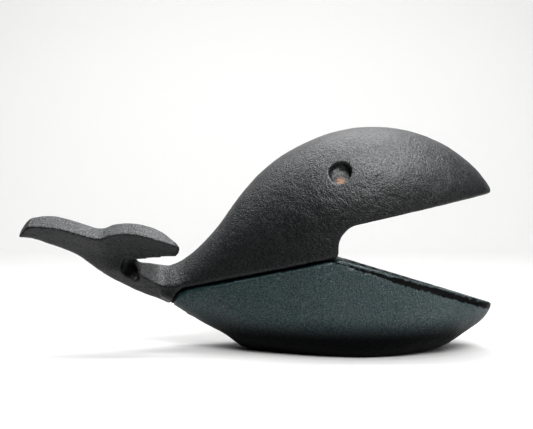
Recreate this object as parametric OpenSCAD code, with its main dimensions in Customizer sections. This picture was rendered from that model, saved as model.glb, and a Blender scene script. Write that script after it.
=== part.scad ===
// Whale-shaped lobster cracker: two iron castings on one hinge pin, in millimetres.
// X runs from the tail to the snout, Z is up, and Y = 0 is the middle plane of the body.
// The origin is under the middle of the whale, on the table. Negative Y is the whale's right.

/* [Body] */
// Half of the greatest width of the body
half_beam = 35.5; // [32:0.5:38]
// Station where the body is widest
beam_x = 48; // [44:1:52]
// Station of the two snouts
snout_x = 117.6; // [114:0.2:119]
// Taper of the body in plan towards the snout, 0.5 is an ellipse
snout_taper = 0.6; // [0.5:0.02:0.7]
// Squareness of the back's arch, 2 is an ellipse
arch_power = 2.15; // [2:0.05:2.4]
// Height over which the flanks round in to the keel
bilge_h = 18; // [15:0.5:20]

/* [Mouth] */
// Station of the corner of the mouth
corner_x = 38.5; // [37:0.1:39.5]
// Rise of the parting seam, millimetres per millimetre of length
seam_slope = 0.222; // [0.2:0.002:0.24]
// Gap between the castings along the seam
seam_gap = 1.2; // [0.8:0.1:1.6]
// Radius of the throat behind the upper jaw
throat_r = 8.4; // [6:0.2:10]
// Height of the upper jaw's face at the corner of the mouth
palate_z = 59; // [57:0.5:61]
// Rise of the upper jaw's face
palate_slope = 0.228; // [0.2:0.002:0.25]
// Fall of the lower jaw's rim
rim_slope = 0.294; // [0.28:0.002:0.31]

/* [Gripping teeth] */
// Depth of the toothed beds in both jaws
bed_depth = 3.2; // [2:0.2:4]
// Distance from tooth to tooth
tooth_pitch = 5.5; // [4:0.5:8]
// Land left between a bed and the casting's edge
bed_land = 6.5; // [5:0.5:9]

/* [Eyes] */
// Radius of each eye's dimple
eye_r = 5.4; // [4.5:0.1:6.5]
// Depth of each eye's dimple
eye_depth = 2.6; // [2:0.2:3]

/* [Hinge] */
// Radius of the steel pin
pin_r = 2.4; // [2:0.1:2.6]
// Radial clearance of the pin in the upper casting's tongue
pin_play = 0.05; // [0.03:0.01:0.08]
// Radius of the seam where it rounds the pin
knuckle_r = 9.1; // [8.6:0.1:9.4]
// Thickness of the upper casting's tongue
tongue_w = 6.4; // [5:0.2:6.4]
// Clearance on each side of the tongue
tongue_play = 0.3; // [0.3:0.1:0.5]

/* [Tail] */
// How far the flukes lean over towards the whale's right, in degrees from upright
fluke_lean = 43; // [35:1:50]
// Thickness of the flukes
fluke_t = 9; // [7:0.5:11]

/* [Hidden] */

pin_x = -30.5;
pin_z = 20.8;
pin_near = 7;                 // blind end of the pin's hole, on the whale's right
pin_far = 8.6;                // the pin's other end, just under the left flank
tongue_r = pin_r + 2.5;
tongue_root = [112, 172];     // the tongue's root about the pin, between these angles
slot_play = 0.5;              // clearance around the tongue's end
slot_swing = [104, 250];      // the root sweeps between these angles as the jaws open
eye_x = 39.5;
eye_z = 85.2;
eye_lift = 25;                // each dimple faces this far above level
bed_start = 8;                // from the corner of the mouth to each bed
bed_end = 100;
crest = 0.8;                  // teeth stand this far below the jaw's face
wide = 50;                    // half-length of every sideways cut
far = 200;                    // past the end of everything
tail_x = -46;                 // where the body's loft ends, inside the tail
stations = 46;                // sections along the body
bilge_points = 6;
flank_points = 3;
arch_points = 9;
ring_points = 20;             // points around each section of the tail
flat_power = 4.5;             // squareness of the tail's broad face
iron = [0.16, 0.17, 0.18];
steel = [0.55, 0.55, 0.57];

// ---- Curves: [x, value] points joined by a smooth cubic ----
back_top = [[-50, 37], [-46, 40], [-42, 41.2], [-36, 43.8], [-28, 50], [-18, 61], [-6, 77.5], [6, 90],
            [22, 100.5], [40, 107.5], [58, 109.7], [76, 107.6], [93, 101], [106, 92],
            [113.5, 84.2], [118, 78.6]];
keel = [[-50, 26], [-44, 22.4], [-40, 19.9], [-28, 13.6], [-15, 6.8], [-5, 0.4], [12, -2.6], [31, -5.6],
        [50, -7.6], [64, -6], [78, -2.8], [86, -0.6], [93, 1.6], [101, 6.2], [108, 10.6],
        [114, 15.6], [118, 21]];
beam_back = [[-50, 4], [-46, 6.6], [-41, 9.4], [-34, 11.2], [-20, 15.6], [-5, 22], [12, 28.6], [30, 33.6],
             [48, 35.5], [60, 35.6]];
shoulder = [[-50, 31], [-40, 31.5], [-25, 36], [-8, 43], [10, 52], [30, 61], [48, 64.5],
            [75, 71], [118, 76]];

// Tail stock: [step, x, y, z, half-height across the bend, half-thickness] of each section
stock = [[0, -34, 0.4, 32.4, 9, 7.8], [1, -42, 0.4, 32.6, 9.2, 7.8], [2, -51, -0.5, 33.6, 8.8, 7.4],
         [3, -58.5, -2.5, 35.8, 9, 6.6], [4, -64.5, -6, 39, 9.2, 5.8], [5, -68.8, -9.6, 43, 10, 5.1],
         [6, -71.5, -12.8, 47.8, 11.5, 4.4], [7, -73, -15.2, 53, 13, 3.9]];
// Flukes by station: height of the trailing ridge, and chord from ridge to leading edge
fluke_ridge = [[-111, 57.2], [-106, 59.8], [-97, 59.6], [-88, 58], [-79.5, 55.6], [-73, 54.3],
               [-67.5, 55.8], [-62, 56.5], [-56, 56], [-50, 54.6], [-44, 52.8], [-38.8, 50.8],
               [-35, 48.8]];
fluke_chord = [[-111, 5], [-106, 10], [-97, 14.8], [-88, 18.8], [-79.5, 21.6], [-73, 22],
               [-67.5, 21], [-62, 19], [-56, 17], [-50, 14.6], [-44, 12], [-38.8, 8.4],
               [-35, 4]];
fluke_body = [[-111, 0.6], [-106, 0.9], [-97, 1.05], [-80, 1], [-44, 1], [-38.8, 0.7], [-35, 0.4]];
fluke_y = -22;                // sideways place of the trailing ridge at the notch

// ---- Interpolation ----
function segment(p, x, i = 0) = i >= len(p) - 2 || x < p[i + 1][0] ? i : segment(p, x, i + 1);
function grade(p, i, k) =
    let (a = max(i - 1, 0), b = min(i + 1, len(p) - 1)) (p[b][k] - p[a][k]) / (p[b][0] - p[a][0]);
// Value k of the row that stands at x, on a cubic through the rows of p
function along(p, x, k = 1) =
    let (i = segment(p, x), h = p[i + 1][0] - p[i][0], t = (x - p[i][0]) / h)
    p[i][k] * (2*t*t*t - 3*t*t + 1) + p[i + 1][k] * (3*t*t - 2*t*t*t)
    + grade(p, i, k) * h * (t*t*t - 2*t*t + t) + grade(p, i + 1, k) * h * (t*t*t - t*t);

function unit(v) = v / norm(v);
seam_a = atan(seam_slope);
function seam(x) = pin_z + knuckle_r / cos(seam_a) + seam_slope * (x - pin_x);
function palate(x) = palate_z + palate_slope * (x - corner_x);
rim_x = corner_x + 1.6;       // the lower casting's peak stands just ahead of the corner
rim_z = seam(rim_x) - seam_gap / 2;
function rim(x) = rim_z - rim_slope * (x - rim_x);

// Half-width of the body: a drawn taper behind the beam, a rounded bow ahead of it
function beam(x) = x < beam_x
    ? along(beam_back, x) * half_beam / 35.5
    : half_beam * pow(max(0, 1 - pow((x - beam_x) / (snout_x - beam_x), 2)), snout_taper);

// ---- Lofted skins ----
// Closed solid through rings that all hold the same number of points
module skin(rings) {
    n = len(rings[0]);
    last = len(rings) - 1;
    polyhedron(
        points = [for (r = rings) for (p = r) p],
        faces = concat(
            [[for (j = [0 : n - 1]) n - 1 - j]],
            [for (i = [0 : last - 1]) for (j = [0 : n - 1])
                let (a = i * n + j, b = i * n + (j + 1) % n) each [[a, b, b + n], [a, b + n, a + n]]],
            [[for (j = [0 : n - 1]) last * n + j]]));
}

// Right half of the body's section at x, from the keel up to the crown, as [y, z]
function half_section(x) =
    let (w = beam(x), zk = along(keel, x), zt = along(back_top, x),
         hb = min(bilge_h, 0.75 * (seam(min(x, corner_x)) - zk), 0.9 * (rim(x) - zk)),
         zs = min(along(shoulder, x), zt - 5))
    concat(
        [for (i = [0 : bilge_points]) let (a = 90 * i / bilge_points)
            [w * sin(a), zk + hb * (1 - cos(a))]],
        [for (i = [1 : flank_points]) [w, zk + hb + (zs - zk - hb) * i / (flank_points + 1)]],
        [for (i = [0 : arch_points]) let (a = 90 * i / arch_points)
            [w * pow(cos(a), 2 / arch_power), zs + (zt - zs) * pow(sin(a), 2 / arch_power)]]);

function section(x) =
    let (h = half_section(x), n = len(h))
    concat([for (p = h) [x, -p[0], p[1]]], [for (i = [n - 2 : -1 : 1]) [x, h[i][0], h[i][1]]]);

// Stations close up towards the snout, where the body rounds in quickly
function station(i) = tail_x + (snout_x - 0.02 - tail_x) * sin(90 * i / stations);

module whale_body() {
    skin([for (i = [0 : stations]) section(station(i))]);
}

// ---- Tail ----
bend_axis = [0, cos(fluke_lean), sin(fluke_lean)];
function stock_point(s) = [for (k = [1 : 3]) along(stock, s, k)];
function stock_ring(s) =
    let (c = stock_point(s), run = unit(stock_point(s + 0.02) - stock_point(s - 0.02)),
         across = unit(cross(bend_axis, run)), h = along(stock, s, 4), t = along(stock, s, 5))
    [for (j = [0 : ring_points - 1])
        let (a = 360 * j / ring_points, power = sin(a) < 0 ? 2 / flat_power : 1)
        c + across * h * sign(cos(a)) * pow(abs(cos(a)), power)
        + bend_axis * t * sign(sin(a)) * pow(abs(sin(a)), power)];

module tail_stock() {
    steps = len(stock) - 1;
    skin([for (i = [20 : -1 : 0]) stock_ring(0.02 + (steps - 0.04) * i / 20)]);
}

// Section of the flukes at x: u runs down the broad face, v through the thickness
function fluke_ring(x) =
    let (c = along(fluke_chord, x), t = fluke_t * along(fluke_body, x), e = 0.6 * c,
         r = min(1.6, 0.3 * t, 0.3 * c), z = along(fluke_ridge, x),
         uv = concat(
             [[r, 0], [c - e, 0]],
             [for (i = [1 : 7]) let (a = 180 * i / 8) [c - e + e * sin(a), t / 2 * (1 - cos(a))]],
             [[c - e, t], [r, t], [0.3 * r, t - 0.3 * r], [0, t - r], [0, r], [0.3 * r, 0.3 * r]]))
    [for (p = uv) [x, fluke_y + p[0] * sin(fluke_lean) + p[1] * cos(fluke_lean),
                   z - p[0] * cos(fluke_lean) + p[1] * sin(fluke_lean)]];

module flukes() {
    left = fluke_ridge[0][0];
    span = fluke_ridge[len(fluke_ridge) - 1][0] - left;
    skin([for (i = [32 : -1 : 0]) fluke_ring(left + span * (1 - cos(180 * i / 32)) / 2)]);
}

// ---- Profiles drawn in X and Z, and run sideways through the body ----
module sideways(half = wide) {
    rotate([90, 0, 0]) linear_extrude(height = 2 * half, center = true) children();
}

module at_pin() {
    translate([pin_x, pin_z]) children();
}

// Everything under the seam, which runs straight aft and then rounds the pin
module under_seam(shift) {
    r = knuckle_r + shift;
    steps = 16;
    at_pin() rotate(seam_a) polygon(concat(
        [for (i = [0 : steps]) let (a = 90 + 180 * i / steps) r * [cos(a), sin(a)]],
        [[0, -far], [2 * far, -far], [2 * far, r]]));
}

// Wedge of a disc about the pin, between two angles
module sector(r, from, to) {
    polygon(concat([[0, 0]], [for (a = [from : (to - from) / 8 : to]) r * [cos(a), sin(a)]]));
}

// The open mouth above the lower casting: an upright throat, rounded into the upper jaw's face
module open_mouth() {
    slope_a = atan(palate_slope);
    steps = 8;
    drop = throat_r * tan(45 - slope_a / 2);
    middle = [corner_x + throat_r, palate(corner_x) - drop];
    polygon(concat(
        [[corner_x, -far]],
        [for (i = [0 : steps]) let (a = 180 - (90 - slope_a) * i / steps)
            middle + throat_r * [cos(a), sin(a)]],
        [[far, palate(far)], [far, -far]]));
}

module upper_profile() {
    difference() {
        translate([-far, 0]) square([2 * far, far]);
        under_seam(seam_gap / 2);
        open_mouth();
    }
}

module lower_profile() {
    difference() {
        under_seam(-seam_gap / 2);
        polygon([[rim_x, rim_z], [far, rim(far)], [far, far], [rim_x, far]]);
        translate([-far, -far]) square([2 * far, far]);
    }
}

// ---- Toothed beds ----
module bed_outline() {
    steps = 12;
    x = [for (i = [0 : steps]) corner_x + bed_start + (bed_end - corner_x - bed_start) * i / steps];
    polygon(concat([for (v = x) [v, beam(v) - bed_land]],
                   [for (i = [steps : -1 : 0]) [x[i], bed_land - beam(x[i])]]));
}

// Space over a row of teeth; side is 1 to cut down into the lower jaw and -1 to cut up
module teeth_space(side) {
    from = corner_x + bed_start;
    count = floor((bed_end - from) / tooth_pitch);
    end = from + count * tooth_pitch;
    face = function (x) side > 0 ? rim(x) : palate(x);
    polygon(concat(
        [[from, face(from) + side]],
        [for (i = [0 : count - 1]) let (x = from + i * tooth_pitch, mid = x + tooth_pitch / 2)
            each [[x, face(x) - side * bed_depth], [mid, face(mid) - side * crest]]],
        [[end, face(end) - side * bed_depth], [end, face(end) + side]]));
}

module toothed_bed(side) {
    intersection() {
        linear_extrude(height = far) bed_outline();
        sideways() teeth_space(side);
    }
}

// ---- Hinge ----
module tongue() {
    sideways(tongue_w / 2) {
        at_pin() circle(r = tongue_r, $fn = 64);
        at_pin() sector(knuckle_r + 2, tongue_root[0], tongue_root[1]);
    }
}

module tongue_slot() {
    sideways(tongue_w / 2 + tongue_play) {
        at_pin() circle(r = tongue_r + slot_play, $fn = 64);
        at_pin() sector(knuckle_r + 8, slot_swing[0], slot_swing[1]);
    }
}

// Round bar on the pin's axis, from the whale's right at y = from to its left at y = to
module across_hinge(r, from, to) {
    translate([pin_x, to, pin_z]) rotate([90, 0, 0]) cylinder(h = to - from, r = r, $fn = 64);
}

module eye_dimple(side) {
    ball = (eye_r * eye_r + eye_depth * eye_depth) / (2 * eye_depth);
    rise = (eye_z - along(shoulder, eye_x)) / (along(back_top, eye_x) - along(shoulder, eye_x));
    flank = beam(eye_x) * pow(1 - pow(rise, arch_power), 1 / arch_power);
    out = ball - eye_depth;
    translate([eye_x, side * (flank + out * cos(eye_lift)), eye_z + out * sin(eye_lift)])
        sphere(r = ball, $fn = 48);
}

// ---- The pieces ----
middle_x = (snout_x + fluke_ridge[0][0]) / 2;
module placed() {
    translate([-middle_x, 0, 0]) children();
}

module lower_jaw_base() {
    color(iron) placed() difference() {
        intersection() {
            whale_body();
            sideways() lower_profile();
        }
        toothed_bed(1);
        tongue_slot();
        across_hinge(pin_r, -pin_near, wide);
    }
}

module upper_jaw_tail() {
    color(iron) placed() difference() {
        union() {
            intersection() {
                union() {
                    whale_body();
                    tail_stock();
                    flukes();
                }
                sideways() upper_profile();
            }
            tongue();
        }
        toothed_bed(-1);
        for (side = [-1, 1]) eye_dimple(side);
        across_hinge(pin_r + pin_play, -wide, wide);
    }
}

module hinge_pin() {
    color(steel) placed() across_hinge(pin_r, -pin_near, pin_far);
}

lower_jaw_base();
upper_jaw_tail();
hinge_pin();
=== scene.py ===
import math

import bpy
import numpy as np
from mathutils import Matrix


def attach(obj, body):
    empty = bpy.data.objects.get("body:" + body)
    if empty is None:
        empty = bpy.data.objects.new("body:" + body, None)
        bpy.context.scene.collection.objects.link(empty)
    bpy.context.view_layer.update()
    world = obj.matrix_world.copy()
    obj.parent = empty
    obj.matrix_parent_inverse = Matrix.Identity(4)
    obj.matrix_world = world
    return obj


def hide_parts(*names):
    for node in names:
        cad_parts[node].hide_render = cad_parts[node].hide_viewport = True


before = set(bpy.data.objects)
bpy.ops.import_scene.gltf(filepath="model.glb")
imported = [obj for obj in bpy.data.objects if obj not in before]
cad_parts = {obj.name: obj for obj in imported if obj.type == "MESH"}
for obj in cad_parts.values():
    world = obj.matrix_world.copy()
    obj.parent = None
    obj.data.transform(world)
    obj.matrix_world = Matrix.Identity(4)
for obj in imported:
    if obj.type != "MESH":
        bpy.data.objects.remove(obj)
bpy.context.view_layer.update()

import openvdb
from mathutils import Vector

# The whale cracker's two castings and its pin. The castings are made as distance fields on a grid, in
# millimetres, so that their parts run into each other with cast fillets, and are then meshed.
# X runs from the tail to the snout, Y = 0 is the middle plane, and the table is at Z = 0.

MM = 0.001
CELL = 0.70                   # grid pitch
BAND = 9.0                    # how far from a surface its distance is kept

# ---- The whale's curves and sizes ----
# The body, mouth and hinge follow the design, apart from a crowned seam and the keel's rear end.
# The tail is drawn anew, and its surface is up to about 5 mm from the design's.
HALF_BEAM, BEAM_X, SNOUT_X, SNOUT_TAPER = 35.5, 48, 117.6, 0.6
ARCH_POWER, SADDLE_POWER, BILGE_H, TAIL_X = 2.15, 1.15, 18, -46
CORNER_X, SEAM_SLOPE, SEAM_GAP, SEAM_CROWN, THROAT_R = 38.5, 0.222, 1.2, 1.8, 8.4
PALATE_Z, PALATE_SLOPE, RIM_SLOPE = 59, 0.228, 0.294
BED_DEPTH, TOOTH_PITCH, BED_LAND, BED_START, BED_END, CREST = 3.2, 5.5, 6.5, 8, 100, 0.8
PIN_X, PIN_Z, PIN_R, PIN_PLAY, PIN_NEAR, PIN_FAR = -30.5, 20.8, 2.4, 0.05, 7, 8.6
KNUCKLE_R, TONGUE_W, TONGUE_PLAY, TONGUE_R = 9.1, 6.4, 0.3, 4.9
TONGUE_ROOT, SLOT_SWING, SLOT_PLAY = (112, 172), (104, 250), 0.5      # angles about the pin
ROOT_REACH, SLOT_REACH = 2, 8                         # how far each wedge runs past the knuckle
EYE_X, EYE_Z, EYE_R, EYE_DEPTH, EYE_LIFT = 39.5, 85.2, 5.0, 3.6, 25
FLUKE_LEAN, FLUKE_T, FLUKE_Y = 43, 9, -22
ARCH_MIN, BILGE_SHARE, BOW_SHARE = 5, 0.75, 0.9       # least arch, and most of the side that is bilge
SADDLE_SPAN = (-38, -20)                              # where the saddle's sharp arch turns full

BACK_TOP = [[-50, 37], [-46, 40], [-42, 41.2], [-36, 43.8], [-28, 50], [-18, 61], [-6, 77.5], [6, 90],
            [22, 100.5], [40, 107.5], [58, 109.7], [76, 107.6], [93, 101], [106, 92], [113.5, 84.2],
            [118, 78.6]]
KEEL = [[-50, 28], [-44, 23.8], [-40, 21.0], [-28, 13.6], [-15, 6.8], [-5, 0.4], [12, -2.6], [31, -5.6],
        [50, -7.6], [64, -6], [78, -2.8], [86, -0.6], [93, 1.6], [101, 6.2], [108, 10.6], [114, 15.6],
        [118, 21]]
BEAM_BACK = [[-50, 4], [-46, 6.6], [-41, 9.4], [-34, 11.2], [-20, 15.6], [-5, 22], [12, 28.6],
             [30, 33.6], [48, 35.5], [60, 35.6]]
SHOULDER = [[-50, 31], [-40, 31.5], [-25, 36], [-8, 43], [10, 52], [30, 61], [48, 64.5], [75, 71],
            [118, 76]]
FLUKE_RIDGE = [[-111, 57.2], [-106, 59.8], [-97, 59.6], [-88, 58], [-79.5, 55.6], [-73, 54.2],
               [-67.5, 55.9], [-62, 56.6], [-56, 56.3], [-50, 55], [-44, 53.2], [-38.8, 51.6],
               [-35, 50]]
FLUKE_BODY = [[-111, 0.75], [-106, 0.9], [-97, 1.05], [-80, 1], [-50, 1], [-44, 0.85], [-38.8, 0.5],
              [-35, 0.3]]
# Heights measured in the flukes' own leaning plane, against X.
TAIL_UNDER = [[-114, 54], [-102.6, 48.4], [-95, 45], [-87, 41.4], [-82, 38], [-76, 33.2], [-72.6, 30.8],
              [-65, 26.6], [-59, 23.2], [-50, 18.6], [-41, 14.0], [-24, 12.5]]
SADDLE = [[-114, 130], [-66, 60], [-63, 51], [-59, 41], [-52, 33.6], [-46, 29.2], [-42, 28.2],
          [-36, 29.6], [-24, 32]]
FLUKE_UNDER = [[-66, 41], [-58, 41.4], [-53, 41.7], [-48, 42.3], [-43, 43], [-38, 43.8], [-24, 46]]
# How far back along the plane's normal the tail's near face stands, and how thick the stock is.
STOCK_NEAR = [[-114, 24.5], [-97, 24.6], [-88, 23], [-80, 20.8], [-73, 18.8], [-67, 17.4], [-60, 16.1],
              [-51, 15.2], [-24, 14.6]]
STOCK_THICK = [[-76, 9], [-64, 7.6], [-58, 7.8], [-54.5, 10], [-51, 13], [-45, 15.4], [-24, 15.8]]
FLUKE_RISE = (36, 46)                                 # the stock turns into the flukes between these
EDGE_THIN, EDGE_WIDE, EDGE_SPAN = 1.6, 7, (-60, -54)  # the right fluke thins to its lower edge
TIP_X, TIP_RISE, TIP_FACE = -107.1, 58.8, (-0.75, 0.66)
STOCK_END, TAIL_END = -33.4, -20
CLEAR_X, CLEAR_RISE = -32.5, 38                       # past both, only the body's own skin is left
COVE_TOP, COVE_FOOT = (-60.6, 38.4), (-57.5, 33.6)
COVE_R, COVE_TAPER, COVE_SINK = 3.7, 1.8, 0.8
# Cast sand: how deep and how wide its lumps are.
SAND = ((0.12, 7.0), (0.07, 3.0), (0.05, 1.5))

MIDDLE_X = (SNOUT_X + FLUKE_RIDGE[0][0]) / 2      # the row's origin stands under here


def along(rows, x, k=1):
    """Value k of the rows at x, on the same smooth cubic as the design's."""
    t = np.asarray(rows, float)
    x = np.asarray(x, float)
    n = len(t)
    before, after = np.maximum(np.arange(n) - 1, 0), np.minimum(np.arange(n) + 1, n - 1)
    grade = (t[after, k] - t[before, k]) / (t[after, 0] - t[before, 0])
    i = np.clip(np.searchsorted(t[:, 0], x, side="right") - 1, 0, n - 2)
    h = t[i + 1, 0] - t[i, 0]
    u = (x - t[i, 0]) / h
    return (t[i, k] * (2 * u**3 - 3 * u**2 + 1) + t[i + 1, k] * (3 * u**2 - 2 * u**3)
            + grade[i] * h * (u**3 - 2 * u**2 + u) + grade[i + 1] * h * (u**3 - u**2))


SEAM_A = math.atan(SEAM_SLOPE)
RIM_X = CORNER_X + 1.6


def seam(x):
    return PIN_Z + KNUCKLE_R / math.cos(SEAM_A) + SEAM_SLOPE * (x - PIN_X)


def palate(x):
    return PALATE_Z + PALATE_SLOPE * (x - CORNER_X)


def rim(x):
    return seam(RIM_X) - SEAM_GAP / 2 - RIM_SLOPE * (x - RIM_X)


def beam(x):
    x = np.asarray(x, float)
    bow = np.clip(1 - ((np.maximum(x, BEAM_X) - BEAM_X) / (SNOUT_X - BEAM_X)) ** 2, 0, 1)
    return np.where(x < BEAM_X, along(BEAM_BACK, np.minimum(x, BEAM_X)), HALF_BEAM * bow**SNOUT_TAPER)


# ---- Distance fields ----
LOW = (-118, -41, -4)
HIGH = (122, 41, 114)
FIRST = [math.floor(v / CELL) for v in LOW]
SHAPE = [math.ceil(b / CELL) - a for a, b in zip(FIRST, HIGH)]
X, Y, Z = [((np.arange(SHAPE[a]) + FIRST[a]) * CELL).astype(np.float32).reshape(
    [-1 if b == a else 1 for b in range(3)]) for a in range(3)]
rng = np.random.default_rng(7)


def smooth_step(value, start, end):
    t = np.clip((value - start) / (end - start), 0, 1)
    return t * t * (3 - 2 * t)


def smooth_min(a, b, k):
    h = np.maximum(k - np.abs(a - b), 0)
    return np.minimum(a, b) - h * h / (4 * k)


def smooth_max(a, b, k):
    return -smooth_min(-a, -b, k)


def loft(rings):
    """Distance to the closed skin through rings that all hold the same number of points."""
    rings = np.asarray(rings, np.float32)
    m, n = rings.shape[:2]
    points = np.concatenate([rings.reshape(-1, 3), rings[:1].mean(1), rings[-1:].mean(1)])
    j = np.arange(n)
    nxt = (j + 1) % n
    quads = [np.stack([i * n + j, i * n + nxt, (i + 1) * n + nxt, (i + 1) * n + j], 1) for i in range(m - 1)]
    caps = [np.stack([np.full(n, m * n), nxt, j], 1),
            np.stack([np.full(n, m * n + 1), (m - 1) * n + j, (m - 1) * n + nxt], 1)]
    grid = openvdb.FloatGrid.createLevelSetFromPolygons(
        points.astype(np.float32), triangles=np.concatenate(caps).astype(np.uint32),
        quads=np.concatenate(quads).astype(np.uint32),
        transform=openvdb.createLinearTransform(voxelSize=CELL), halfWidth=BAND / CELL)
    field = np.empty(SHAPE, np.float32)
    grid.copyToArray(field, ijk=FIRST)
    return field


def lumps(size):
    """Smooth seeded noise from -1 to 1 over the grid, with lumps of about this size."""
    step = size / CELL
    field = rng.uniform(-1, 1, [int(n / step) + 3 for n in SHAPE]).astype(np.float32)
    for axis, n in enumerate(SHAPE):
        p = np.arange(n) / step
        i = p.astype(int)
        f = (p - i).astype(np.float32)
        f = (f * f * (3 - 2 * f)).reshape([-1 if b == axis else 1 for b in range(3)])
        field = np.take(field, i, axis) * (1 - f) + np.take(field, i + 1, axis) * f
    return field


def body_ring(x):
    w, keel, top = float(beam(x)), float(along(KEEL, x)), float(along(BACK_TOP, x))
    bilge = min(BILGE_H, BILGE_SHARE * (seam(min(x, CORNER_X)) - keel), BOW_SHARE * (rim(x) - keel))
    shoulder = min(float(along(SHOULDER, x)), top - ARCH_MIN)
    a = np.radians(np.linspace(0, 90, 20))
    low = np.stack([w * np.sin(a), keel + bilge * (1 - np.cos(a))], 1)
    rise = np.linspace(0, 1, 14)[1:-1, None]
    flank = np.concatenate([np.full_like(rise, w), keel + bilge + (shoulder - keel - bilge) * rise], 1)
    a = np.radians(np.linspace(0, 90, 34))
    power = SADDLE_POWER + (ARCH_POWER - SADDLE_POWER) * smooth_step(x, *SADDLE_SPAN)
    arch = np.stack([w * np.cos(a).clip(0) ** (2 / power),
                     shoulder + (top - shoulder) * np.sin(a).clip(0) ** (2 / power)], 1)
    half = np.concatenate([low, flank, arch])
    ring = np.concatenate([half * [-1, 1], half[-2:0:-1]])
    return np.insert(ring, 0, x, axis=1)


def whale_body():
    a = np.radians(np.linspace(0, 90, 170))
    return loft([body_ring(x) for x in TAIL_X + (SNOUT_X - 0.02 - TAIL_X) * np.sin(a)])


LEAN = math.radians(FLUKE_LEAN)
UP_Y, UP_Z = -math.sin(LEAN), math.cos(LEAN)          # up the flukes' plane
BACK_Y, BACK_Z = math.cos(LEAN), math.sin(LEAN)       # square to it, away from the viewer's side


def edge(rows, x, rise):
    """Distance in the flukes' plane over a curve of that plane."""
    grade = (along(rows, x + 0.5) - along(rows, x - 0.5)).astype(np.float32)
    return (rise - along(rows, x).astype(np.float32)) / np.hypot(1, grade)


def cove(x, rise, back, near):
    """Shaded cove under the right fluke's root, narrower towards its foot."""
    (ax, ar), (bx, br) = COVE_TOP, COVE_FOOT
    t = np.clip(((x - ax) * (bx - ax) + (rise - ar) * (br - ar)) / ((bx - ax)**2 + (br - ar)**2), 0, 1)
    off = np.hypot(x - ax - t * (bx - ax), rise - ar - t * (br - ar))
    return np.hypot(off, back - near - COVE_SINK) - COVE_R + COVE_TAPER * t


def tail():
    """Stock and flukes, cut from their leaning plane by the curves drawn in it."""
    cut = int(TAIL_END / CELL) - FIRST[0]
    x = X[:cut]
    rise, back = UP_Y * Y + UP_Z * Z, BACK_Y * Y + BACK_Z * Z
    ridge_z = along(FLUKE_RIDGE, x).astype(np.float32)
    ridge = [[p, UP_Y * FLUKE_Y + UP_Z * z] for p, z in FLUKE_RIDGE]
    over = edge(ridge, x, rise)
    saddle, under = edge(SADDLE, x, rise), edge(TAIL_UNDER, x, rise)
    fluke_under = edge(FLUKE_UNDER, x, rise)
    high = smooth_step(rise, *FLUKE_RISE)
    near = (1 - high) * along(STOCK_NEAR, x) + high * (BACK_Y * FLUKE_Y + BACK_Z * ridge_z)
    thick = (1 - high) * along(STOCK_THICK, x) + high * FLUKE_T * along(FLUKE_BODY, x)
    thin = EDGE_THIN * np.clip(1 - fluke_under / EDGE_WIDE, 0, 1)**2 * smooth_step(x, *EDGE_SPAN) * high
    near, thick = (near + thin).astype(np.float32), (thick - 2 * thin).astype(np.float32)
    solid = smooth_max(near - back, over, 0.7)
    gap = smooth_max(-saddle, fluke_under, 1.4)
    solid = smooth_max(solid, -gap, 0.9)
    solid = smooth_max(solid, -under, 3.0)
    solid = smooth_max(solid, back - near - thick, 2.6)
    solid = smooth_max(solid, (x - TIP_X) * TIP_FACE[0] + (rise - TIP_RISE) * TIP_FACE[1], 0.6)
    solid = smooth_max(solid, x - STOCK_END, 5.0)
    solid = smooth_max(solid, -cove(x, rise, back, near), 0.9)
    field = np.full(SHAPE, BAND, np.float32)
    field[:cut] = np.where((x > CLEAR_X) & (rise > CLEAR_RISE), BAND, solid)
    return field


# ---- Hinge: distances in X and Z about the pin ----
PX, PZ = X - PIN_X, Z - PIN_Z
PIN_DISTANCE = np.hypot(PX, PZ)


def sector(radius, start, end):
    """Wedge of a disc about the pin, between two angles less than 180 apart."""
    a, b = math.radians(start), math.radians(end)
    sides = np.maximum(math.sin(a) * PX - math.cos(a) * PZ, math.cos(b) * PZ - math.sin(b) * PX)
    return np.maximum(PIN_DISTANCE - radius, sides)


def tongue():
    flat = np.minimum(PIN_DISTANCE - TONGUE_R, sector(KNUCKLE_R + ROOT_REACH, *TONGUE_ROOT))
    return np.maximum(flat, np.abs(Y) - TONGUE_W / 2)


def tongue_slot():
    swing = sector(KNUCKLE_R + SLOT_REACH, *SLOT_SWING)
    flat = np.minimum(PIN_DISTANCE - TONGUE_R - SLOT_PLAY, swing)
    return np.maximum(flat, np.abs(Y) - TONGUE_W / 2 - TONGUE_PLAY)


# ---- Parting and mouth ----
def over_seam():
    """Height over the seam, which runs straight, rounds the pin and stands crowned in the middle."""
    c, s = math.cos(SEAM_A), math.sin(SEAM_A)
    crown = SEAM_CROWN * np.clip(1 - (Y / np.maximum(beam(X), 5)) ** 2, 0, 1)
    return np.where(c * PX + s * PZ > 0, c * PZ - s * PX, PIN_DISTANCE) - KNUCKLE_R - crown


def open_mouth():
    slope = 1 / math.hypot(1, PALATE_SLOPE)
    back, top = CORNER_X - X + THROAT_R, (Z - palate(X)) * slope + THROAT_R
    inner = np.minimum(np.maximum(back, top), 0)
    return inner + np.hypot(np.maximum(back, 0), np.maximum(top, 0)) - THROAT_R


def over_rim():
    return (Z - rim(X)) / math.hypot(1, RIM_SLOPE)


def rim_groove(body):
    """Ragged line where the casting's flash was dressed off under the lower jaw's rim."""
    below = -over_rim() - 2.0 + 0.5 * smooth_step(X, 50, 110)
    return np.hypot(below * 0.9, body) - 0.3 - 0.6 * smooth_step(X, 60, 100) + smooth_step(X, 108, 116)


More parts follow.
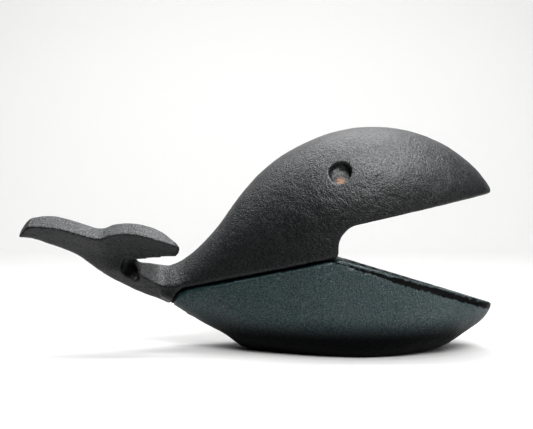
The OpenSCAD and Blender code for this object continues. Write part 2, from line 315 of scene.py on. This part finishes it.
def toothed_bed(face, side):
    """Space over a row of teeth; side is 1 to cut down into the lower jaw and -1 to cut up."""
    start = CORNER_X + BED_START
    count = math.floor((BED_END - start) / TOOTH_PITCH)
    phase = (X - start) / TOOTH_PITCH
    depth = CREST + (BED_DEPTH - CREST) * np.abs(2 * (phase - np.floor(phase)) - 1)
    outline = np.maximum(np.maximum(start - X, X - start - count * TOOTH_PITCH),
                         (np.abs(Y) - beam(X) + BED_LAND) * 0.85)
    return smooth_max(outline, (side * (face(X) - Z) - depth) * 0.9, 1.2)


def eye(side):
    """Blind dimple with a rough floor, facing a little above level."""
    lift = math.radians(EYE_LIFT)
    rise = (EYE_Z - along(SHOULDER, EYE_X)) / (along(BACK_TOP, EYE_X) - along(SHOULDER, EYE_X))
    flank = float(beam(EYE_X) * (1 - rise**ARCH_POWER) ** (1 / ARCH_POWER))
    dy, dz = side * Y - flank, Z - EYE_Z
    out = dy * math.cos(lift) + dz * math.sin(lift)
    up = dz * math.cos(lift) - dy * math.sin(lift)
    round_ = np.hypot(X - EYE_X, up) - EYE_R
    return smooth_max(round_, -out - EYE_DEPTH - 0.12 * (X - EYE_X - up), 2.0)


def castings():
    """Fields of the upper and the lower casting."""
    body = whale_body()
    sand = sum(depth * lumps(size) for depth, size in SAND)
    ragged = lumps(2.2)
    seam_height = over_seam()
    whole = smooth_min(body, tail(), 2.5) + sand

    upper = smooth_max(whole, SEAM_GAP / 2 - seam_height + 0.25 * np.maximum(lumps(2.6), -0.2), 2.2)
    upper = smooth_max(upper, -open_mouth() + 0.08 * ragged, 1.6)
    upper = smooth_min(upper, tongue(), 0.8)
    upper = smooth_max(upper, -toothed_bed(palate, -1), 0.8)
    for side in (-1, 1):
        upper = smooth_max(upper, -eye(side) - 0.30 * lumps(1.8), 0.9)
    upper = np.maximum(upper, PIN_R + PIN_PLAY - PIN_DISTANCE)

    lower = smooth_max(body + sand, seam_height + SEAM_GAP / 2 + 0.45 * np.maximum(ragged, -0.2), 1.2)
    lower = smooth_max(lower, over_rim() + 0.25 * np.maximum(ragged, -0.2), 1.0)
    lower = smooth_max(lower, -rim_groove(body) + 0.35 * ragged, 0.5)
    lower = smooth_max(lower, -Z, 1.0)
    lower = smooth_max(lower, -toothed_bed(rim, 1), 0.8)
    lower = smooth_max(lower, -tongue_slot(), 0.6)
    lower = np.maximum(lower, np.minimum(PIN_R - PIN_DISTANCE, PIN_NEAR + Y))
    return upper, lower


# ---- Meshes ----
def mesh_object(name, points, faces, body, slot, *nodes):
    mesh = bpy.data.meshes.new(name)
    mesh.from_pydata(points, [], faces)
    mesh.validate()
    mesh.update()
    mesh.polygons.foreach_set("use_smooth", [True] * len(mesh.polygons))
    obj = bpy.data.objects.new(name, mesh)
    bpy.context.scene.collection.objects.link(obj)
    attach(obj, body)
    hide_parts(*nodes)
    return obj


def field_object(name, field, body, slot, node):
    grid = openvdb.FloatGrid(BAND)
    grid.transform = openvdb.createLinearTransform(voxelSize=CELL)
    grid.copyFromArray(np.clip(field, -BAND, BAND), ijk=FIRST, tolerance=0)
    points, quads = grid.convertToQuads()
    points = (points - [MIDDLE_X, 0, 0]) * MM
    return mesh_object(name, points.tolist(), quads[:, ::-1].tolist(), body, slot, node)


upper_field, lower_field = castings()
upper = field_object("upper_casting", upper_field, "head", "upper_iron", "upper_jaw_tail")
lower = field_object("lower_casting", lower_field, "base", "lower_iron", "lower_jaw_base")


def hinge_pin():
    """Turned pin with a small chamfer at each end. Its far end stands a little inside the left flank."""
    chamfer, sides = 0.4, 48
    profile = [(-PIN_NEAR, 0), (-PIN_NEAR, PIN_R - chamfer), (chamfer - PIN_NEAR, PIN_R),
               (PIN_FAR - chamfer, PIN_R), (PIN_FAR, PIN_R - chamfer), (PIN_FAR, 0)]
    points = [((PIN_X - MIDDLE_X + r * math.cos(a)) * MM, y * MM, (PIN_Z + r * math.sin(a)) * MM)
              for y, r in profile[1:-1] for a in np.radians(np.arange(sides) * 360 / sides)]
    rings = len(profile) - 2
    faces = [(i * sides + j, i * sides + (j + 1) % sides, (i + 1) * sides + (j + 1) % sides,
              (i + 1) * sides + j) for i in range(rings - 1) for j in range(sides)]
    faces += [tuple(reversed(range(sides))), tuple(range((rings - 1) * sides, rings * sides))]
    return mesh_object("hinge_pin_steel", points, faces, "base", "pin_steel", "hinge_pin")


pin = hinge_pin()


# ---- Materials ----
def node(tree, kind, **settings):
    made = tree.nodes.new(kind)
    for key, value in settings.items():
        if key in made.inputs:
            made.inputs[key].default_value = value
        else:
            setattr(made, key, value)
    return made


def noise_texture(tree, coords, scale, detail=2.0, roughness=0.55):
    made = node(tree, "ShaderNodeTexNoise", Scale=scale, Detail=detail, Roughness=roughness)
    tree.links.new(coords, made.inputs["Vector"])
    return made.outputs["Fac"]


def remap(tree, value, low, high, to_low=0.0, to_high=1.0):
    made = node(tree, "ShaderNodeMapRange")
    tree.links.new(value, made.inputs["Value"])
    for key, number in (("From Min", low), ("From Max", high), ("To Min", to_low), ("To Max", to_high)):
        made.inputs[key].default_value = number
    return made.outputs["Result"]


def mix(tree, factor, first, second):
    made = tree.nodes.new("ShaderNodeMix")
    made.data_type = "RGBA"
    for socket, value in ((made.inputs[0], factor), (made.inputs[6], first), (made.inputs[7], second)):
        if isinstance(value, bpy.types.NodeSocket):
            tree.links.new(value, socket)
        else:
            socket.default_value = value
    return made.outputs[2]


def bump(tree, height, distance, strength, below=None):
    made = node(tree, "ShaderNodeBump", Strength=strength, Distance=distance)
    tree.links.new(height, made.inputs["Height"])
    if below:
        tree.links.new(below, made.inputs["Normal"])
    return made.outputs["Normal"]


def math_node(tree, operation, *values):
    made = tree.nodes.new("ShaderNodeMath")
    made.operation = operation
    for socket, value in zip(made.inputs, values):
        if isinstance(value, bpy.types.NodeSocket):
            tree.links.new(value, socket)
        else:
            socket.default_value = value
    return made.outputs["Value"]


def new_material(name):
    material = bpy.data.materials.new(name)
    material.use_nodes = True
    tree = material.node_tree
    shader = tree.nodes["Principled BSDF"]
    coords = tree.nodes.new("ShaderNodeTexCoord").outputs["Object"]
    return material, tree, shader, coords


DOWNWARD_SHARE = 0.35


def enamelled_iron(name, dark, light, grit, glossy, shade, floor, faces):
    """Black enamel over sand-cast iron: grains, pits and a few pale specks.

    Its gloss rises from floor over shade: a span of heights in metres or, with faces, of how far
    up the surface faces, where what faces down counts by DOWNWARD_SHARE. Below that span the colour
    also darkens to near black. Both are painted shade and a painted sheen.
    """
    material, tree, shader, coords = new_material(name)
    facing = coords.node.outputs["Normal"]
    grains = noise_texture(tree, coords, 1500, 2, 0.55)
    swell = noise_texture(tree, coords, 720, 1, 0.5)
    patches = noise_texture(tree, coords, 55, 3, 0.6)
    pits = node(tree, "ShaderNodeTexVoronoi", Scale=560, Randomness=1.0)
    tree.links.new(coords, pits.inputs["Vector"])
    pit_depth = remap(tree, pits.outputs["Distance"], 0.05, 0.32)
    specks = noise_texture(tree, coords, 1900, 1, 0.5)
    speck_mask = remap(tree, specks, 0.67, 0.75)
    colour = mix(tree, patches, dark, light)
    colour = mix(tree, math_node(tree, "MULTIPLY", speck_mask, 0.6), colour, (0.20, 0.20, 0.19, 1))
    split = tree.nodes.new("ShaderNodeSeparateXYZ")
    tree.links.new(facing if faces else coords, split.inputs[0])
    level = split.outputs[2]
    if faces:
        level = math_node(tree, "MAXIMUM", level, math_node(tree, "MULTIPLY", level, -DOWNWARD_SHARE))
    # Painted shade: share of full colour and gloss; with faces it is least where the surface stands upright,
    # with heights it is least low down.
    painted_light_share = remap(tree, level, shade[0], shade[1])
    painted_light_share.node.interpolation_type = "SMOOTHSTEP"
    colour = mix(tree, painted_light_share, (0.0012, 0.0016, 0.002, 1), colour)
    painted_sheen = math_node(tree, "MULTIPLY_ADD", painted_light_share, 0.85 - floor, floor)
    mottle = remap(tree, grains, 0.32, 0.68, 0.45, 1.45)
    tree.links.new(math_node(tree, "MULTIPLY", painted_sheen, mottle), shader.inputs["Specular IOR Level"])
    tree.links.new(colour, shader.inputs["Base Color"])
    rough = remap(tree, grains, 0.3, 0.7, glossy, glossy + 0.12)
    tree.links.new(rough, shader.inputs["Roughness"])
    normal = bump(tree, swell, 0.0006 * grit, 0.4)
    normal = bump(tree, pit_depth, 0.00015 * grit, 0.45, normal)
    normal = bump(tree, grains, 0.0005 * grit, 0.65, normal)
    tree.links.new(normal, shader.inputs["Normal"])
    return material, tree, shader, coords, colour


def eye_rust(tree, shader, coords, colour):
    """Rust where the enamel has gone from the lower half of each eye's floor."""
    split = tree.nodes.new("ShaderNodeSeparateXYZ")
    tree.links.new(coords, split.inputs[0])
    join = tree.nodes.new("ShaderNodeCombineXYZ")
    tree.links.new(split.outputs[0], join.inputs[0])
    tree.links.new(math_node(tree, "ABSOLUTE", split.outputs[1]), join.inputs[1])
    tree.links.new(split.outputs[2], join.inputs[2])
    away = node(tree, "ShaderNodeVectorMath", operation="DISTANCE")
    tree.links.new(join.outputs[0], away.inputs[0])
    away.inputs[1].default_value = ((EYE_X - MIDDLE_X + 0.5) * MM, 30.2 * MM, (EYE_Z - 4.0) * MM)
    blotch = noise_texture(tree, coords, 600, 3, 0.7)
    reach = math_node(tree, "ADD", away.outputs["Value"], math_node(tree, "MULTIPLY", blotch, -0.0016))
    mask = remap(tree, reach, 0.0026, 0.0010)
    rusty = mix(tree, blotch, (0.13, 0.055, 0.022, 1), (0.30, 0.16, 0.085, 1))
    tree.links.new(mix(tree, mask, colour, rusty), shader.inputs["Base Color"])


def cove_painted_shade(tree, shader, coords):
    """Painted shade: near-black, dull enamel in the cove under the right fluke's root."""
    away = node(tree, "ShaderNodeVectorMath", operation="DISTANCE")
    tree.links.new(coords, away.inputs[0])
    away.inputs[1].default_value = ((-60.0 - MIDDLE_X) * MM, -12.6 * MM, 39.0 * MM)
    mask = remap(tree, away.outputs["Value"], 5.6 * MM, 3.2 * MM)
    for key, black in (("Base Color", 0.001), ("Specular IOR Level", 0.04)):
        plain_enamel = shader.inputs[key].links[0].from_socket
        tree.links.new(mix(tree, mask, plain_enamel, (black, black, black, 1)), shader.inputs[key])


def rim_line_painted_shade(tree, shader, coords, colour):
    """Painted shade: a ragged, near-black and dull line along the groove just under the lower jaw's rim,
    wider towards the bow.
    """
    split = tree.nodes.new("ShaderNodeSeparateXYZ")
    tree.links.new(coords, split.inputs[0])
    run, height = split.outputs[0], split.outputs[2]
    level = math_node(tree, "MULTIPLY_ADD", run, RIM_SLOPE, height)
    below = math_node(tree, "SUBTRACT", (rim(0) - RIM_SLOPE * MIDDLE_X) * MM, level)
    shade_edge_noise = noise_texture(tree, coords, 420, 3, 0.65)
    ragged = math_node(tree, "MULTIPLY_ADD", shade_edge_noise, 0.0034, -0.0017)
    middle = math_node(tree, "ABSOLUTE", math_node(tree, "SUBTRACT", below, 0.0021))
    width = remap(tree, run, 0.015, 0.070, -0.0005, 0.0014)
    inside = math_node(tree, "SUBTRACT", math_node(tree, "ADD", width, ragged), middle)
    mask = remap(tree, inside, -0.0003, 0.0003)
    tree.links.new(mix(tree, mask, colour, (0.0015, 0.0015, 0.002, 1)), shader.inputs["Base Color"])
    level_in = shader.inputs["Specular IOR Level"].links[0].from_socket
    tree.links.new(mix(tree, mask, level_in, (0.1, 0.1, 0.1, 1)), shader.inputs["Specular IOR Level"])


def steel(name):
    material, tree, shader, coords = new_material(name)
    turned = noise_texture(tree, coords, 2500, 2, 0.6)
    tree.links.new(mix(tree, turned, (0.20, 0.20, 0.20, 1), (0.42, 0.41, 0.40, 1)),
                   shader.inputs["Base Color"])
    tree.links.new(remap(tree, turned, 0.3, 0.7, 0.3, 0.5), shader.inputs["Roughness"])
    tree.links.new(bump(tree, turned, 0.00008, 0.5), shader.inputs["Normal"])
    shader.inputs["Metallic"].default_value = 1.0
    return material


# Painted shade and sheen on the upper casting: darkest and dullest on its upright sides.
iron_up, tree, shader, coords, colour = enamelled_iron(
    "enamelled_iron_upper", dark=(0.004, 0.005, 0.007, 1), light=(0.010, 0.0115, 0.0135, 1),
    grit=1.0, glossy=0.36, shade=(-0.12, 0.5), floor=0.30, faces=True)
eye_rust(tree, shader, coords, colour)
# Painted shade in the cove under the right fluke's root.
cove_painted_shade(tree, shader, coords)
# Painted shade on the lower casting: near black and dull below 8 mm, full from 20 mm up.
iron_low, tree, shader, coords, colour = enamelled_iron(
    "enamelled_iron_lower", dark=(0.002, 0.014, 0.016, 1), light=(0.003, 0.022, 0.024, 1),
    grit=0.65, glossy=0.36, shade=(0.008, 0.020), floor=0.06, faces=False)
# Painted shade along the groove under the lower jaw's rim.
rim_line_painted_shade(tree, shader, coords, colour)
for piece, material in ((upper, iron_up), (lower, iron_low), (pin, steel("turned_steel"))):
    piece.data.materials.append(material)


# ---- Studio ----
def plain(name, colour, roughness):
    material = bpy.data.materials.new(name)
    material.use_nodes = True
    shader = material.node_tree.nodes["Principled BSDF"]
    shader.inputs["Base Color"].default_value = colour
    shader.inputs["Roughness"].default_value = roughness
    return material


def sweep():
    """Pale floor that curves up into the backdrop behind the whale."""
    front, back, radius, side, top = -3.0, 1.2, 0.8, 4.0, 3.5
    line = [(front, 0)] + [(back + radius * math.sin(a), radius * (1 - math.cos(a)))
                           for a in np.radians(np.linspace(0, 90, 25))] + [(back + radius, top)]
    points = [(s * side, y, z) for y, z in line for s in (-1, 1)]
    faces = [(2 * i, 2 * i + 1, 2 * i + 3, 2 * i + 2) for i in range(len(line) - 1)]
    mesh = bpy.data.meshes.new("sweep")
    mesh.from_pydata(points, [], faces)
    mesh.polygons.foreach_set("use_smooth", [True] * len(faces))
    obj = bpy.data.objects.new("sweep", mesh)
    bpy.context.scene.collection.objects.link(obj)
    obj.data.materials.append(plain("pale_floor", (0.50, 0.50, 0.498, 1), 0.7))


def softbox(name, place, aim, width, height, power):
    light = bpy.data.lights.new(name, "AREA")
    light.shape = "RECTANGLE"
    light.size, light.size_y, light.energy = width, height, power
    obj = bpy.data.objects.new(name, light)
    obj.location = place
    obj.rotation_euler = (Vector(aim) - Vector(place)).to_track_quat("-Z", "Y").to_euler()
    bpy.context.scene.collection.objects.link(obj)


def camera():
    distance, height, off = 0.365, 0.061, 0.00245
    data = bpy.data.cameras.new("camera")
    obj = bpy.data.objects.new("camera", data)
    obj.location = (off, -distance, height)
    obj.rotation_euler = (math.radians(90), 0, 0)
    data.sensor_width = 36
    data.lens = 49.3
    data.shift_y = 0.0197
    data.clip_start = 0.02
    bpy.context.scene.collection.objects.link(obj)
    bpy.context.scene.camera = obj


sweep()
softbox("front_softbox", (0.16, -0.52, 0.57), (0.02, 0, 0.05), 0.5, 0.4, 9.2)
softbox("top_softbox", (0.18, -0.12, 0.76), (0.02, 0, 0.05), 0.45, 0.4, 1.3)
softbox("back_softbox", (0.05, 0.33, 0.72), (0.02, 0, 0.05), 0.4, 0.4, 1.7)
softbox("left_softbox", (-0.50, -0.05, 0.62), (-0.05, 0, 0.05), 0.35, 0.35, 1.1)
softbox("backdrop_light", (0.0, 0.5, 2.3), (0.0, 2.2, 0.7), 4.0, 0.8, 132)
softbox("right_softbox", (0.80, -0.40, 0.30), (0.05, 0, 0.05), 0.4, 0.5, 2.9)
camera()

world = bpy.data.worlds.new("world")
bpy.context.scene.world = world
world.use_nodes = True
background = world.node_tree.nodes["Background"]
background.inputs["Color"].default_value = (1, 1, 1, 1)
background.inputs["Strength"].default_value = 0.05
bpy.context.scene.view_settings.view_transform = "Standard"
bpy.context.scene.view_settings.gamma = 0.8
